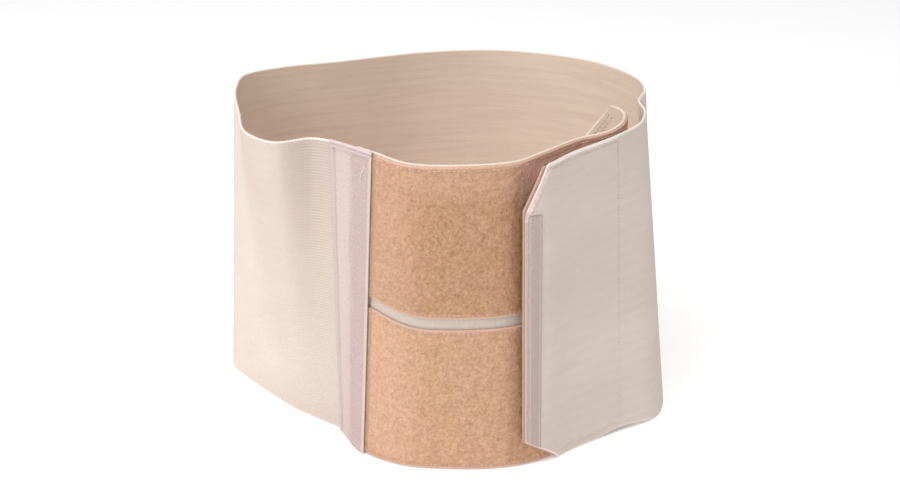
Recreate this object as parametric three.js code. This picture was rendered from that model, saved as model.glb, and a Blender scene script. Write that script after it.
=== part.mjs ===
import * as THREE from 'three';

// Abdominal binder standing open on its lower rim, in millimetres, +Z up.
// One wall line runs from the curled free end of the closure panel, along the
// front to the sewn seam, and on round the back to the end of the hook flap.
// The elastic and the brushed loop cloth lie outside that line, the panel's
// backing and the hook cloth lie inside it.

// Overall sizes
const BAND_HEIGHT = 230;
const LOOP_WIDTH = 340;
const LOOP_DEPTH = 294;

// Cloth thicknesses, and the air between two cloths that lie on each other
const ELASTIC_THICKNESS = 1.8;
const BACKING_THICKNESS = 1.5;
const PLUSH_THICKNESS = 1.8;
const HOOK_THICKNESS = 1.4;
const SEAM_TAPE_THICKNESS = 1.2;
const SEAM_TAPE_FOLD = 0.8;
const END_TAPE_THICKNESS = 1;
const CLOTH_GAP = 0.35;

// Seam between the elastic and the closure panel, under a sewn tape
const SEAM_TAPE_WIDTH = 40;
const SEAM_TAPE_HEM = 8;
const SEAM_TAPE_RISE = 1.2;
const ELASTIC_TUCK = 3;
const SEAM_OVERLAP = 14;

// Closure panel: corner cuts of its free end, and two loop cloths with a gap
const PANEL_CUT_LENGTH = 21;
const PANEL_CUT_HEIGHT = 28;
const PLUSH_INSET = 1;
const PLUSH_END_INSET = 3;
const LOWER_PLUSH_HEIGHT = 109;
const PLUSH_SPACING = 9;
const PLUSH_SPACING_RISE = 6;
const PLUSH_SPACING_SLOPE = 55;

// Hook flap: corner cuts, the arch of its lower rim, and what is sewn to it
const FLAP_TOP_CUT_LENGTH = 17;
const FLAP_TOP_CUT_HEIGHT = 34;
const FLAP_FOOT_CUT_LENGTH = 31;
const FLAP_FOOT_CUT_HEIGHT = 26;
const FLAP_ARCH_HEIGHT = 3.8;
const FLAP_ARCH_LENGTH = 76;
const FLAP_ARCH_FROM_END = 103;
const HOOK_LENGTH = 98;
const HOOK_REACH = 2;
const HOOK_INSET = 2;
const END_TAPE_WIDTH = 10;
const END_TAPE_INSET = 2;
const END_TAPE_CLEARANCE = 1;

// Wall line in plan, one row for each bend, as shares of half the loop's width
// (x, to the right) and of half its depth (y, to the back), at both rims.
const STATIONS = [
  { name: 'panel free end', topX: 0.615, topY: -0.045, footX: 0.595, footY: -0.06 },
  { name: 'panel curl back', topX: 0.725, topY: -0.055, footX: 0.7, footY: -0.075 },
  { name: 'panel curl bend', topX: 0.78, topY: -0.16, footX: 0.77, footY: -0.18 },
  { name: 'panel curl front', topX: 0.76, topY: -0.34, footX: 0.765, footY: -0.365 },
  { name: 'panel right', topX: 0.685, topY: -0.485, footX: 0.695, footY: -0.54 },
  { name: 'panel right front', topX: 0.55, topY: -0.6, footX: 0.56, footY: -0.725 },
  { name: 'panel front right', topX: 0.4, topY: -0.795, footX: 0.425, footY: -0.905 },
  { name: 'panel front bend', topX: 0.29, topY: -0.925, footX: 0.255, footY: -0.985 },
  { name: 'panel front', topX: 0.07, topY: -0.985, footX: 0.025, footY: -1 },
  { name: 'panel front left', topX: -0.13, topY: -0.955, footX: -0.175, footY: -0.965 },
  { name: 'seam right edge', topX: -0.28, topY: -0.79, footX: -0.34, footY: -0.83 },
  { name: 'seam left edge', topX: -0.455, topY: -0.615, footX: -0.44, footY: -0.6 },
  { name: 'valley left of seam', topX: -0.545, topY: -0.575, footX: -0.54, footY: -0.5 },
  { name: 'front left bulge', topX: -0.685, topY: -0.64, footX: -0.655, footY: -0.385 },
  { name: 'left corner', topX: -0.815, topY: -0.495, footX: -0.76, footY: -0.25 },
  { name: 'left side', topX: -0.875, topY: -0.18, footX: -0.955, footY: 0.03 },
  { name: 'left back', topX: -0.935, topY: 0.255, footX: -1.01, footY: 0.455 },
  { name: 'back left corner', topX: -0.92, topY: 0.5, footX: -0.875, footY: 0.67 },
  { name: 'back left', topX: -0.745, topY: 0.655, footX: -0.665, footY: 0.805 },
  { name: 'back left flat', topX: -0.525, topY: 0.745, footX: -0.45, footY: 0.88 },
  { name: 'back', topX: -0.07, topY: 0.955, footX: -0.025, footY: 0.945 },
  { name: 'back right', topX: 0.285, topY: 0.995, footX: 0.365, footY: 0.92 },
  { name: 'back right corner', topX: 0.695, topY: 0.775, footX: 0.77, footY: 0.705 },
  { name: 'right back', topX: 0.88, topY: 0.455, footX: 0.96, footY: 0.345 },
  { name: 'right side', topX: 0.905, topY: 0.225, footX: 1, footY: 0.12 },
  { name: 'right notch', topX: 0.86, topY: 0.025, footX: 1.01, footY: -0.08 },
  { name: 'right side front', topX: 0.87, topY: -0.135, footX: 1, footY: -0.25 },
  { name: 'right front corner', topX: 0.82, topY: -0.365, footX: 0.925, footY: -0.485 },
  { name: 'flap bend', topX: 0.69, topY: -0.57, footX: 0.74, footY: -0.645 },
  { name: 'flap middle', topX: 0.51, topY: -0.795, footX: 0.545, footY: -0.81 },
  { name: 'flap front', topX: 0.405, topY: -0.96, footX: 0.425, footY: -0.95 },
  { name: 'flap end', topX: 0.31, topY: -1.015, footX: 0.33, footY: -1.01 },
];
const SEAM_AFTER = 'seam right edge';
const SEAM_SHARE = 0.45;

// Fineness of the walls
const COLUMNS_PER_STATION = 5;
const WALL_ROWS = 6;
const SHORTEST_COLUMN = 1;
const LENGTH_SAMPLES = 1600;

function railCurve(xName, yName, height) {
  const points = STATIONS.map((row) => new THREE.Vector3(
    row[xName] * LOOP_WIDTH / 2,
    row[yName] * LOOP_DEPTH / 2,
    height,
  ));
  return new THREE.CatmullRomCurve3(points);
}

const topRail = railCurve('topX', 'topY', BAND_HEIGHT);
const footRail = railCurve('footX', 'footY', 0);

// Lengths along the wall's middle height, from the first station
const middlePoint = (t) => topRail.getPoint(t).lerp(footRail.getPoint(t), 0.5);
const lengths = [0];
for (let i = 0; i < LENGTH_SAMPLES; i += 1) {
  const step = middlePoint(i / LENGTH_SAMPLES).distanceTo(middlePoint((i + 1) / LENGTH_SAMPLES));
  lengths.push(lengths[i] + step);
}

function lengthAt(t) {
  const place = t * LENGTH_SAMPLES;
  const i = Math.min(Math.floor(place), LENGTH_SAMPLES - 1);
  return lengths[i] + (lengths[i + 1] - lengths[i]) * (place - i);
}

function shareAt(length) {
  let low = 0;
  let high = LENGTH_SAMPLES;
  while (high - low > 1) {
    const middle = Math.floor((low + high) / 2);
    if (lengths[middle] > length) high = middle;
    else low = middle;
  }
  return (low + (length - lengths[low]) / (lengths[high] - lengths[low])) / LENGTH_SAMPLES;
}

// Distances s run along the wall from the seam: less than 0 is the closure
// panel, more than 0 is the elastic band and, at its far end, the flap.
const SPANS = STATIONS.length - 1;
const seamStation = STATIONS.findIndex((row) => row.name === SEAM_AFTER) + SEAM_SHARE;
const seamLength = lengthAt(seamStation / SPANS);
const PANEL_END = -seamLength;
const FLAP_END = lengthAt(1) - seamLength;
const ELASTIC_START = ELASTIC_TUCK - SEAM_TAPE_WIDTH / 2;
const ELASTIC_END = FLAP_END - HOOK_REACH;

// A point of the wall at distance s and height z, set off to the outside
function wallPoint(s, z, offset) {
  const t = shareAt(s + seamLength);
  const share = z / BAND_HEIGHT;
  const place = footRail.getPoint(t).lerp(topRail.getPoint(t), share);
  const along = footRail.getTangent(t).lerp(topRail.getTangent(t), share).setZ(0).normalize();
  return new THREE.Vector3(place.x - along.y * offset, place.y + along.x * offset, z);
}

// Where any piece starts, ends or has a cut corner
const PLUSH_START = PANEL_END + PLUSH_END_INSET;
const PLUSH_STOP = ELASTIC_START - CLOTH_GAP;
const BACKING_STOP = ELASTIC_START + SEAM_OVERLAP;
const HOOK_START = FLAP_END - HOOK_LENGTH;
const END_TAPE_STOP = ELASTIC_END - END_TAPE_INSET;
const END_TAPE_START = END_TAPE_STOP - END_TAPE_WIDTH;
const MARKS = [
  PANEL_END, PANEL_END + PANEL_CUT_LENGTH, PLUSH_START, PLUSH_STOP, BACKING_STOP,
  -SEAM_TAPE_WIDTH / 2, SEAM_TAPE_WIDTH / 2, ELASTIC_START, ELASTIC_END,
  ELASTIC_END - FLAP_TOP_CUT_LENGTH, ELASTIC_END - FLAP_FOOT_CUT_LENGTH,
  FLAP_END, FLAP_END - FLAP_TOP_CUT_LENGTH, FLAP_END - FLAP_FOOT_CUT_LENGTH,
  HOOK_START, END_TAPE_START, END_TAPE_STOP,
];

// Columns that all the walls share, so that their facets lie on each other:
// the marks, and even steps between the stations where no mark is close
const allColumns = [...new Set(MARKS)];
for (let i = 0; i <= SPANS * COLUMNS_PER_STATION; i += 1) {
  const s = lengthAt(i / (SPANS * COLUMNS_PER_STATION)) - seamLength;
  const nearest = Math.min(...MARKS.map((mark) => Math.abs(mark - s)));
  if (nearest > SHORTEST_COLUMN) allColumns.push(s);
}
allColumns.sort((a, b) => a - b);

function evenHeights(foot, top) {
  const heights = [];
  for (let j = 0; j <= WALL_ROWS; j += 1) heights.push(foot + (top - foot) * j / WALL_ROWS);
  return heights;
}

// A closed cloth wall: each column is a ring of points, up the outer face and
// down the inner one, and the first and last rings are closed by a flat strip.
function clothWall({ start, end, heights, inner, outer }) {
  const columns = allColumns.filter((s) => s >= start && s <= end);
  const ring = 2 * heights(start).length;
  const positions = [];
  const faces = [];
  for (const s of columns) {
    const rows = heights(s);
    const outside = rows.map((z) => wallPoint(s, z, outer(z)));
    const inside = rows.map((z) => wallPoint(s, z, inner)).reverse();
    for (const point of [...outside, ...inside]) positions.push(...point.toArray());
  }
  for (let i = 0; i + 1 < columns.length; i += 1) {
    for (let j = 0; j < ring; j += 1) {
      const a = i * ring + j;
      const b = i * ring + (j + 1) % ring;
      faces.push(a, b, b + ring, a, b + ring, a + ring);
    }
  }
  const lastRing = (columns.length - 1) * ring;
  for (let j = 0; j + 1 < ring / 2; j += 1) {
    const opposite = ring - 1 - j;
    faces.push(j, opposite, opposite - 1, j, opposite - 1, j + 1);
    faces.push(lastRing + j, lastRing + j + 1, lastRing + opposite - 1);
    faces.push(lastRing + j, lastRing + opposite - 1, lastRing + opposite);
  }
  const geometry = new THREE.BufferGeometry();
  geometry.setAttribute('position', new THREE.Float32BufferAttribute(positions, 3));
  geometry.setIndex(faces);
  geometry.computeVertexNormals();
  return geometry;
}

const smoothStep = (x) => THREE.MathUtils.smoothstep(x, 0, 1);

// Rim heights of the flap, where it ends at the given distance
function flapTop(s, end) {
  const share = Math.max(0, 1 - (end - s) / FLAP_TOP_CUT_LENGTH);
  return BAND_HEIGHT - FLAP_TOP_CUT_HEIGHT * share;
}

function flapArch(s) {
  const share = (s - FLAP_END + FLAP_ARCH_FROM_END) / (FLAP_ARCH_LENGTH / 2);
  if (Math.abs(share) >= 1) return 0;
  return FLAP_ARCH_HEIGHT * (1 + Math.cos(Math.PI * share)) / 2;
}

function flapFoot(s, end) {
  const share = Math.max(0, 1 - (end - s) / FLAP_FOOT_CUT_LENGTH);
  return Math.max(flapArch(s), FLAP_FOOT_CUT_HEIGHT * Math.sin(Math.PI / 2 * share));
}

// How far the corner cuts of the panel's free end eat into both rims
function panelCut(s) {
  return PANEL_CUT_HEIGHT * Math.max(0, 1 - (s - PANEL_END) / PANEL_CUT_LENGTH);
}

// Height of the lower loop cloth, which climbs towards the seam
function lowerPlushTop(s) {
  const share = (s - ELASTIC_START + PLUSH_SPACING_SLOPE) / PLUSH_SPACING_SLOPE;
  return LOWER_PLUSH_HEIGHT + PLUSH_SPACING_RISE * smoothStep(share);
}

// Cloth faces, measured outward from the wall line
const OUTER_FACE = CLOTH_GAP / 2;
const INNER_FACE = -CLOTH_GAP / 2;
const ELASTIC_FACE = OUTER_FACE + ELASTIC_THICKNESS;
const PLUSH_FACE = OUTER_FACE + PLUSH_THICKNESS;
const SEAM_TAPE_SEAT = Math.max(ELASTIC_FACE, PLUSH_FACE) + CLOTH_GAP;
const END_TAPE_SEAT = ELASTIC_FACE + CLOTH_GAP;

function elasticBand() {
  return clothWall({
    start: ELASTIC_START,
    end: ELASTIC_END,
    heights: (s) => evenHeights(flapFoot(s, ELASTIC_END), flapTop(s, ELASTIC_END)),
    inner: OUTER_FACE,
    outer: () => ELASTIC_FACE,
  });
}

function panelBacking() {
  return clothWall({
    start: PANEL_END,
    end: BACKING_STOP,
    heights: (s) => evenHeights(panelCut(s), BAND_HEIGHT - panelCut(s)),
    inner: INNER_FACE - BACKING_THICKNESS,
    outer: () => INNER_FACE,
  });
}

function loopCloth(foot, top) {
  return clothWall({
    start: PLUSH_START,
    end: PLUSH_STOP,
    heights: (s) => evenHeights(foot(s), top(s)),
    inner: OUTER_FACE,
    outer: () => PLUSH_FACE,
  });
}

const upperLoopCloth = () => loopCloth(
  (s) => lowerPlushTop(s) + PLUSH_SPACING,
  (s) => BAND_HEIGHT - PLUSH_INSET - panelCut(s),
);

const lowerLoopCloth = () => loopCloth(
  (s) => PLUSH_INSET + panelCut(s),
  (s) => lowerPlushTop(s),
);

function seamTape() {
  const top = BAND_HEIGHT + SEAM_TAPE_RISE;
  const lowFold = SEAM_TAPE_HEM;
  const highFold = top - SEAM_TAPE_HEM;
  const flat = evenHeights(lowFold + SEAM_TAPE_FOLD, highFold - SEAM_TAPE_FOLD);
  const heights = [0, lowFold, ...flat, highFold, top];
  const folded = (z) => z <= lowFold || z >= highFold;
  return clothWall({
    start: -SEAM_TAPE_WIDTH / 2,
    end: SEAM_TAPE_WIDTH / 2,
    heights: () => heights,
    inner: SEAM_TAPE_SEAT,
    outer: (z) => SEAM_TAPE_SEAT + SEAM_TAPE_THICKNESS + (folded(z) ? SEAM_TAPE_FOLD : 0),
  });
}

function hookPatch() {
  const foot = (s) => Math.max(flapFoot(s, FLAP_END), flapArch(s) + HOOK_INSET);
  const top = (s) => Math.min(flapTop(s, FLAP_END), BAND_HEIGHT - HOOK_INSET);
  return clothWall({
    start: HOOK_START,
    end: FLAP_END,
    heights: (s) => evenHeights(foot(s), top(s)),
    inner: INNER_FACE - HOOK_THICKNESS,
    outer: () => INNER_FACE,
  });
}

function endTape() {
  const top = BAND_HEIGHT - FLAP_TOP_CUT_HEIGHT - END_TAPE_CLEARANCE;
  return clothWall({
    start: END_TAPE_START,
    end: END_TAPE_STOP,
    heights: (s) => evenHeights(flapFoot(s, ELASTIC_END) + END_TAPE_CLEARANCE, top),
    inner: END_TAPE_SEAT,
    outer: () => END_TAPE_SEAT + END_TAPE_THICKNESS,
  });
}

const PIECES = [
  { name: 'elastic_band', shape: elasticBand, color: 0xdccfc2, roughness: 0.85 },
  { name: 'panel_backing', shape: panelBacking, color: 0xe6d8c6, roughness: 0.85 },
  { name: 'upper_loop_panel', shape: upperLoopCloth, color: 0xd3a27c, roughness: 0.95 },
  { name: 'lower_loop_panel', shape: lowerLoopCloth, color: 0xd3a27c, roughness: 0.95 },
  { name: 'seam_tape', shape: seamTape, color: 0xd8c6c4, roughness: 0.75 },
  { name: 'hook_patch', shape: hookPatch, color: 0xe0bba2, roughness: 0.7 },
  { name: 'end_tape', shape: endTape, color: 0xb4a5a0, roughness: 0.75 },
];

const binder = new THREE.Group();
for (const { name, shape, color, roughness } of PIECES) {
  const material = new THREE.MeshStandardMaterial({ color, roughness, metalness: 0 });
  const mesh = new THREE.Mesh(shape(), material);
  mesh.name = name;
  binder.add(mesh);
}

// The origin is the middle of the whole binder's box, on the floor
const box = new THREE.Box3().setFromObject(binder);
const middle = box.getCenter(new THREE.Vector3());
binder.position.set(-middle.x, -middle.y, -box.min.z);

export default binder;
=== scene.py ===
"""Abdominal binder: a wide woven elastic, a brushed closure panel and a hook flap.

Every cloth follows one wall line, which the solids of the frame follow too.
Sizes are in millimetres and meshes in metres.
"""
import logging
import math
from dataclasses import dataclass
from enum import Enum
from typing import Callable

import bmesh
import bpy
import numpy as np
from mathutils import Euler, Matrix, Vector


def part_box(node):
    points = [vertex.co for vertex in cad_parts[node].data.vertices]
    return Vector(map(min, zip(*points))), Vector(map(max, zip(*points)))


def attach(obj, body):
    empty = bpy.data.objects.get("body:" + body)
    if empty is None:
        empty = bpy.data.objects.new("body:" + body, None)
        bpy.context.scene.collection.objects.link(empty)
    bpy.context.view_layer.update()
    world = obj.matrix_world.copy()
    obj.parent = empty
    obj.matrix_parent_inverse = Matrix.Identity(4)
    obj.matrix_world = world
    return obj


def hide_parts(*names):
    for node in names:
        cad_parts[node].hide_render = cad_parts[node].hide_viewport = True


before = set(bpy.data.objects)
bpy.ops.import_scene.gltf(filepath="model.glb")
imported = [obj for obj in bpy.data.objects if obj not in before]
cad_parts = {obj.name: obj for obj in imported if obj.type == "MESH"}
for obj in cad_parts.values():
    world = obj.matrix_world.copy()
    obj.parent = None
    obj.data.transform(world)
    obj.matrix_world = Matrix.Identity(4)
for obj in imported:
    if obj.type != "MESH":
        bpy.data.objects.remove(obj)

Array = np.ndarray
Object = bpy.types.Object
Colour = tuple[float, float, float]
Relief = Callable[[Array, Array], Array]

log = logging.getLogger("binder")

MM = 0.001
BAND_HEIGHT = 230.0
LOOP_WIDTH = 340.0
LOOP_DEPTH = 294.0
CLOTH_GAP = 0.35
SEAM_TAPE_WIDTH = 40.0
ELASTIC_TUCK = 3.0
ELASTIC_INNER = 0.175
ELASTIC_OUTER = 1.975
BACKING_TUCK = 14.0
LENGTH_SAMPLES = 1600
RIB_PITCH = 2.2
TAPE_RIB = 1.8
RIM_TURNS = (14.0, 40.0, 66.0)

# Name, then the top rail's x and y and the foot rail's, as shares of the loop's half sizes
STATIONS = (
    ("panel free end", 0.615, -0.045, 0.595, -0.06),
    ("panel curl back", 0.725, -0.055, 0.7, -0.075),
    ("panel curl bend", 0.78, -0.16, 0.77, -0.18),
    ("panel curl front", 0.76, -0.34, 0.765, -0.365),
    ("panel right", 0.685, -0.485, 0.695, -0.54),
    ("panel right front", 0.55, -0.6, 0.56, -0.725),
    ("panel front right", 0.4, -0.795, 0.425, -0.905),
    ("panel front bend", 0.29, -0.925, 0.255, -0.985),
    ("panel front", 0.07, -0.985, 0.025, -1.0),
    ("panel front left", -0.13, -0.955, -0.175, -0.965),
    ("seam right edge", -0.28, -0.79, -0.34, -0.83),
    ("seam left edge", -0.455, -0.615, -0.44, -0.6),
    ("valley left of seam", -0.545, -0.575, -0.54, -0.5),
    ("front left bulge", -0.685, -0.64, -0.655, -0.385),
    ("left corner", -0.815, -0.495, -0.76, -0.25),
    ("left side", -0.875, -0.18, -0.955, 0.03),
    ("left foot corner", -0.889, -0.096, -0.996, 0.095),
    ("left side back", -0.918, 0.086, -1.014, 0.285),
    ("left back", -0.935, 0.255, -1.01, 0.455),
    ("back left corner", -0.92, 0.5, -0.875, 0.67),
    ("back left", -0.745, 0.655, -0.665, 0.805),
    ("back left flat", -0.525, 0.745, -0.45, 0.88),
    ("back", -0.07, 0.955, -0.025, 0.945),
    ("back right", 0.285, 0.995, 0.365, 0.92),
    ("back right corner", 0.695, 0.775, 0.77, 0.705),
    ("right back", 0.88, 0.455, 0.96, 0.345),
    ("right side", 0.905, 0.225, 1.0, 0.12),
    ("right notch", 0.86, 0.025, 1.01, -0.08),
    ("right side front", 0.87, -0.135, 1.0, -0.25),
    ("right foot corner", 0.854, -0.25, 0.986, -0.372),
    ("right front corner", 0.82, -0.365, 0.938, -0.497),
    ("flap bend", 0.69, -0.57, 0.74, -0.645),
    ("flap middle", 0.51, -0.795, 0.545, -0.81),
    ("flap front", 0.405, -0.96, 0.425, -0.95),
    ("flap end", 0.31, -1.015, 0.33, -1.01),
)
SEAM_AFTER = "seam right edge"
SEAM_SHARE = 0.45


class Slot(Enum):
    """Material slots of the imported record."""

    ELASTIC = "elastic"
    BACKING = "backing"
    BRUSHED = "brushed_loop"
    SEAM_TAPE = "seam_tape"
    HOOK = "hook_cloth"
    END_TAPE = "end_tape"


def smooth(share: Array) -> Array:
    """Ease from 0 to 1."""
    share = np.clip(share, 0, 1)
    return share * share * (3 - 2 * share)


class WallLine:
    """The line of the cloth, ruled between a foot rail and a top rail.

    Distances run along the middle height from the seam: below 0 is the closure
    panel, above 0 the elastic and, at its far end, the hook flap.
    """

    def __init__(self) -> None:
        """Read the stations, measure the line and set it where the frame is."""
        half = np.array([LOOP_WIDTH, LOOP_DEPTH]) / 2
        table = np.array([row[1:] for row in STATIONS])
        self.top = table[:, :2] * half
        self.foot = table[:, 2:] * half
        self.shares = np.linspace(0, 1, LENGTH_SAMPLES + 1)
        middle = (self.rail(self.top, self.shares) + self.rail(self.foot, self.shares)) / 2
        steps = np.linalg.norm(np.diff(middle, axis=0), axis=1)
        self.lengths = np.concatenate([[0], np.cumsum(steps)])
        names = [row[0] for row in STATIONS]
        seam = (names.index(SEAM_AFTER) + SEAM_SHARE) / (len(names) - 1)
        self.seam_length = float(np.interp(seam, self.shares, self.lengths))
        self.panel_end = -self.seam_length
        self.flap_end = float(self.lengths[-1]) - self.seam_length
        self.elastic_start = ELASTIC_TUCK - SEAM_TAPE_WIDTH / 2
        self.elastic_end = self.flap_end - 2
        self.shift = np.zeros(2)
        self.shift = self.frame_shift()

    @staticmethod
    def rail(points: Array, shares: Array) -> Array:
        """Points of a centripetal spline through a row of points.

        Args:
            points: The rail's points, one row each.
            shares: Places along it from 0 to 1, in an array of any shape.

        Returns:
            The points, in an array one axis deeper than shares.
        """
        last = len(points) - 1
        row = np.vstack([2 * points[0] - points[1], points, 2 * points[-1] - points[-2]])
        place = np.clip(shares, 0, 1) * last
        span = np.minimum(place.astype(int), last - 1)
        w = (place - span)[..., None]
        p0, p1, p2, p3 = (row[span + k] for k in range(4))
        d0, d1, d2 = (
            np.sqrt(np.linalg.norm(b - a, axis=-1))[..., None]
            for a, b in ((p0, p1), (p1, p2), (p2, p3))
        )
        m1 = ((p1 - p0) / d0 - (p2 - p0) / (d0 + d1) + (p2 - p1) / d1) * d1
        m2 = ((p2 - p1) / d1 - (p3 - p1) / (d1 + d2) + (p3 - p2) / d2) * d1
        square = (-3 * p1 + 3 * p2 - 2 * m1 - m2) * w**2
        return p1 + m1 * w + square + (2 * p1 - 2 * p2 + m1 + m2) * w**3

    def share(self, s: Array) -> Array:
        """Places on the rails, from 0 to 1, of distances from the seam."""
        return np.interp(s + self.seam_length, self.lengths, self.shares)

    def along(self, s: Array, z: Array) -> Array:
        """Level directions along the line, of length 1."""
        share = self.share(s)
        rise = (z / BAND_HEIGHT)[..., None]
        total = 0
        for points, part in ((self.foot, 1 - rise), (self.top, rise)):
            ahead = self.rail(points, share + 1e-4) - self.rail(points, share - 1e-4)
            total = total + part * ahead / np.linalg.norm(ahead, axis=-1, keepdims=True)
        return total / np.linalg.norm(total, axis=-1, keepdims=True)

    def outward(self, s: Array, z: Array) -> Array:
        """Level directions square to the line, towards the outside."""
        ahead = self.along(s, z)
        return np.stack([-ahead[..., 1], ahead[..., 0], 0 * ahead[..., 0]], -1)

    @staticmethod
    def sway(s: Array, z: Array) -> Array:
        """The slight waviness that all the layers share, in mm."""
        share = z / BAND_HEIGHT
        slow = np.sin(s / 31 + 2.1 * share) * 0.35
        cross = np.sin(s / 17 - 4.2 * share + 1.3) * 0.2
        return slow + cross * (0.4 + 0.6 * np.sin(math.pi * share))

    def points(self, s: Array, z: Array, offset: Array | float) -> Array:
        """Points of the wall in metres.

        Args:
            s: Distances from the seam in mm.
            z: Heights in mm.
            offset: Distances from the wall line to the outside in mm.

        Returns:
            The points, in an array one axis deeper than s.
        """
        s, z, offset = np.broadcast_arrays(s, z, offset)
        share = self.share(s)
        rise = (z / BAND_HEIGHT)[..., None]
        place = self.rail(self.foot, share) * (1 - rise) + self.rail(self.top, share) * rise
        out = self.outward(s, z)[..., :2]
        flat = place + out * (offset + self.sway(s, z))[..., None] + self.shift
        return np.concatenate([flat, z[..., None]], -1) * MM

    def frame_shift(self) -> Array:
        """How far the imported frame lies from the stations, in mm, from the elastic's box."""
        s = np.linspace(self.elastic_start, self.elastic_end, 1200)[:, None]
        z = np.linspace(0, BAND_HEIGHT, 7)[None, :]
        outer = self.points(s, z, ELASTIC_OUTER).reshape(-1, 3) / MM
        low, high = (np.array(corner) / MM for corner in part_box("elastic_band"))
        return ((low + high) / 2 - (outer.min(0) + outer.max(0)) / 2)[:2]

    def columns(self, start: float, end: float, step: float, bend: float) -> Array:
        """Distances for mesh columns, closer together where the wall bends.

        Args:
            start: First distance in mm.
            end: Last distance in mm.
            step: Spacing on a straight stretch in mm.
            bend: Degrees of bending that add one more column.

        Returns:
            The distances in rising order.
        """
        fine = np.linspace(start, end, 3000)
        ahead = self.along(fine, np.full_like(fine, BAND_HEIGHT / 2))
        turn = np.abs(np.diff(np.unwrap(np.arctan2(ahead[:, 1], ahead[:, 0]))))
        need = np.diff(fine) / step + np.degrees(turn) / bend
        total = np.concatenate([[0], np.cumsum(need)])
        count = max(3, math.ceil(total[-1]))
        return np.interp(np.linspace(0, total[-1], count + 1), total, fine)


LINE = WallLine()


def make_object(name: str, mesh: bpy.types.Mesh) -> Object:
    """Link a mesh to the scene as an object at the origin."""
    made = bpy.data.objects.new(name, mesh)
    bpy.context.scene.collection.objects.link(made)
    return made


def store(mesh: bpy.types.Mesh, name: str, values: Array) -> None:
    """Keep one number or one vector for each point of a mesh."""
    vector = values.ndim == 2
    layer = mesh.attributes.new(name, "FLOAT_VECTOR" if vector else "FLOAT", "POINT")
    layer.data.foreach_set("vector" if vector else "value", values.astype(np.float32).ravel())


@dataclass
class ClothWall:
    """One closed wall of cloth with rounded rims, lofted along the line.

    Attributes:
        columns: Distances of its columns in mm.
        foot: Lowest height at each column.
        top: Highest height at each column.
        rows: Heights that its rows keep, cut off at foot and top.
        inner: Offset of its inner face in mm.
        outer: Offset of its outer face in mm.
        relief: What its outer face adds, from distances and heights.
    """

    columns: Array
    foot: Array
    top: Array
    rows: Array
    inner: float
    outer: float
    relief: Relief | None = None

    def rounded_columns(self, radius: float) -> None:
        """Add columns close to both edges, so that they can be rounded."""
        s = self.columns
        close = radius * (1 - np.cos(np.radians([30, 55, 80])))
        added = np.unique(np.concatenate([s, s[0] + close, s[-1] - close]))
        self.foot = np.interp(added, s, self.foot)
        self.top = np.interp(added, s, self.top)
        self.columns = added

    def build(self, name: str) -> Object:
        """Make the wall's object, with its cloth map and its attributes.

        Args:
            name: Name of the piece.

        Returns:
            The object, smooth shaded.
        """
        half = (self.outer - self.inner) / 2
        self.rounded_columns(half)
        s = self.columns[:, None]
        from_end = np.minimum(s - s[0], s[-1] - s)
        taper = np.sqrt(np.maximum(1 - np.clip(1 - from_end / half, 0, 1) ** 2, 0.04))
        lean_top = np.hypot(1, np.gradient(self.top, self.columns))[:, None]
        lean_foot = np.hypot(1, np.gradient(self.foot, self.columns))[:, None]
        foot, top = self.foot[:, None], self.top[:, None]
        turns = np.radians(np.array(RIM_TURNS))[None, :]
        low_cap = foot + half * lean_foot * (1 - np.cos(turns))
        high_cap = top - half * lean_top * (1 - np.cos(turns[:, ::-1]))
        body = np.clip(self.rows[None, :], foot + half * lean_foot, top - half * lean_top)
        z = np.concatenate([low_cap, body, high_cap], 1)
        cap = np.sin(turns) * np.ones_like(s)
        share = np.concatenate([cap, np.ones_like(body), cap[:, ::-1]], 1) * taper
        away = np.minimum((z - foot) / lean_foot, (top - z) / lean_top)
        away = np.minimum(away, from_end)
        middle = (self.outer + self.inner) / 2
        out = middle + half * share
        wide = s + 0 * z
        if self.relief is not None:
            out = out + self.relief(wide, z) * smooth(away / 1.6)
        side = np.ones_like(z)
        faces = ((wide, wide), (z, z), (out, middle - half * share), (away, away), (side, -side))
        rings = (np.concatenate([front, back[:, ::-1]], 1) for front, back in faces)
        return self.assemble(name, *rings)

    @staticmethod
    def assemble(name: str, s: Array, z: Array, offset: Array, away: Array, side: Array) -> Object:
        """Join the rings into a closed mesh.

        Args:
            name: Name of the piece.
            s: Distances of the rings' points in mm.
            z: Their heights in mm.
            offset: Their distances from the wall line in mm.
            away: How far they lie from the nearest edge in mm.
            side: 1 on the outer face and -1 on the inner one.

        Returns:
            The object.
        """
        rings, ring = z.shape
        j = np.arange(ring)
        first = np.arange(rings - 1)[:, None] * ring
        here = first + j
        over = first + (j + 1) % ring
        faces = np.stack([here, over, over + ring, here + ring], -1).reshape(-1, 4)
        k = np.arange(ring // 2 - 1)
        far = ring - 1 - k
        last = (rings - 1) * ring
        start_cap = np.stack([k, far, far - 1, k + 1], -1)
        end_cap = np.stack([last + k, last + k + 1, last + far - 1, last + far], -1)
        faces = np.concatenate([faces, start_cap, end_cap])
        mesh = bpy.data.meshes.new(name)
        mesh.from_pydata(LINE.points(s, z, offset).reshape(-1, 3).tolist(), [], faces.tolist())
        store(mesh, "out", (LINE.outward(s, z) * side[..., None]).reshape(-1, 3))
        for title, values in (("away", away), ("along", s), ("side", side)):
            store(mesh, title, values.ravel())
        cloth = mesh.uv_layers.new(name="cloth")
        corners = np.empty(len(mesh.loops), dtype=np.int32)
        mesh.loops.foreach_get("vertex_index", corners)
        flat = np.stack([s.ravel(), z.ravel()], -1)[corners] * MM
        cloth.data.foreach_set("uv", flat.astype(np.float32).ravel())
        merged = bmesh.new()
        merged.from_mesh(mesh)
        bmesh.ops.remove_doubles(merged, verts=merged.verts, dist=2e-6)
        for face in merged.faces:
            face.smooth = True
        merged.to_mesh(mesh)
        merged.free()
        return make_object(name, mesh)


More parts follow.
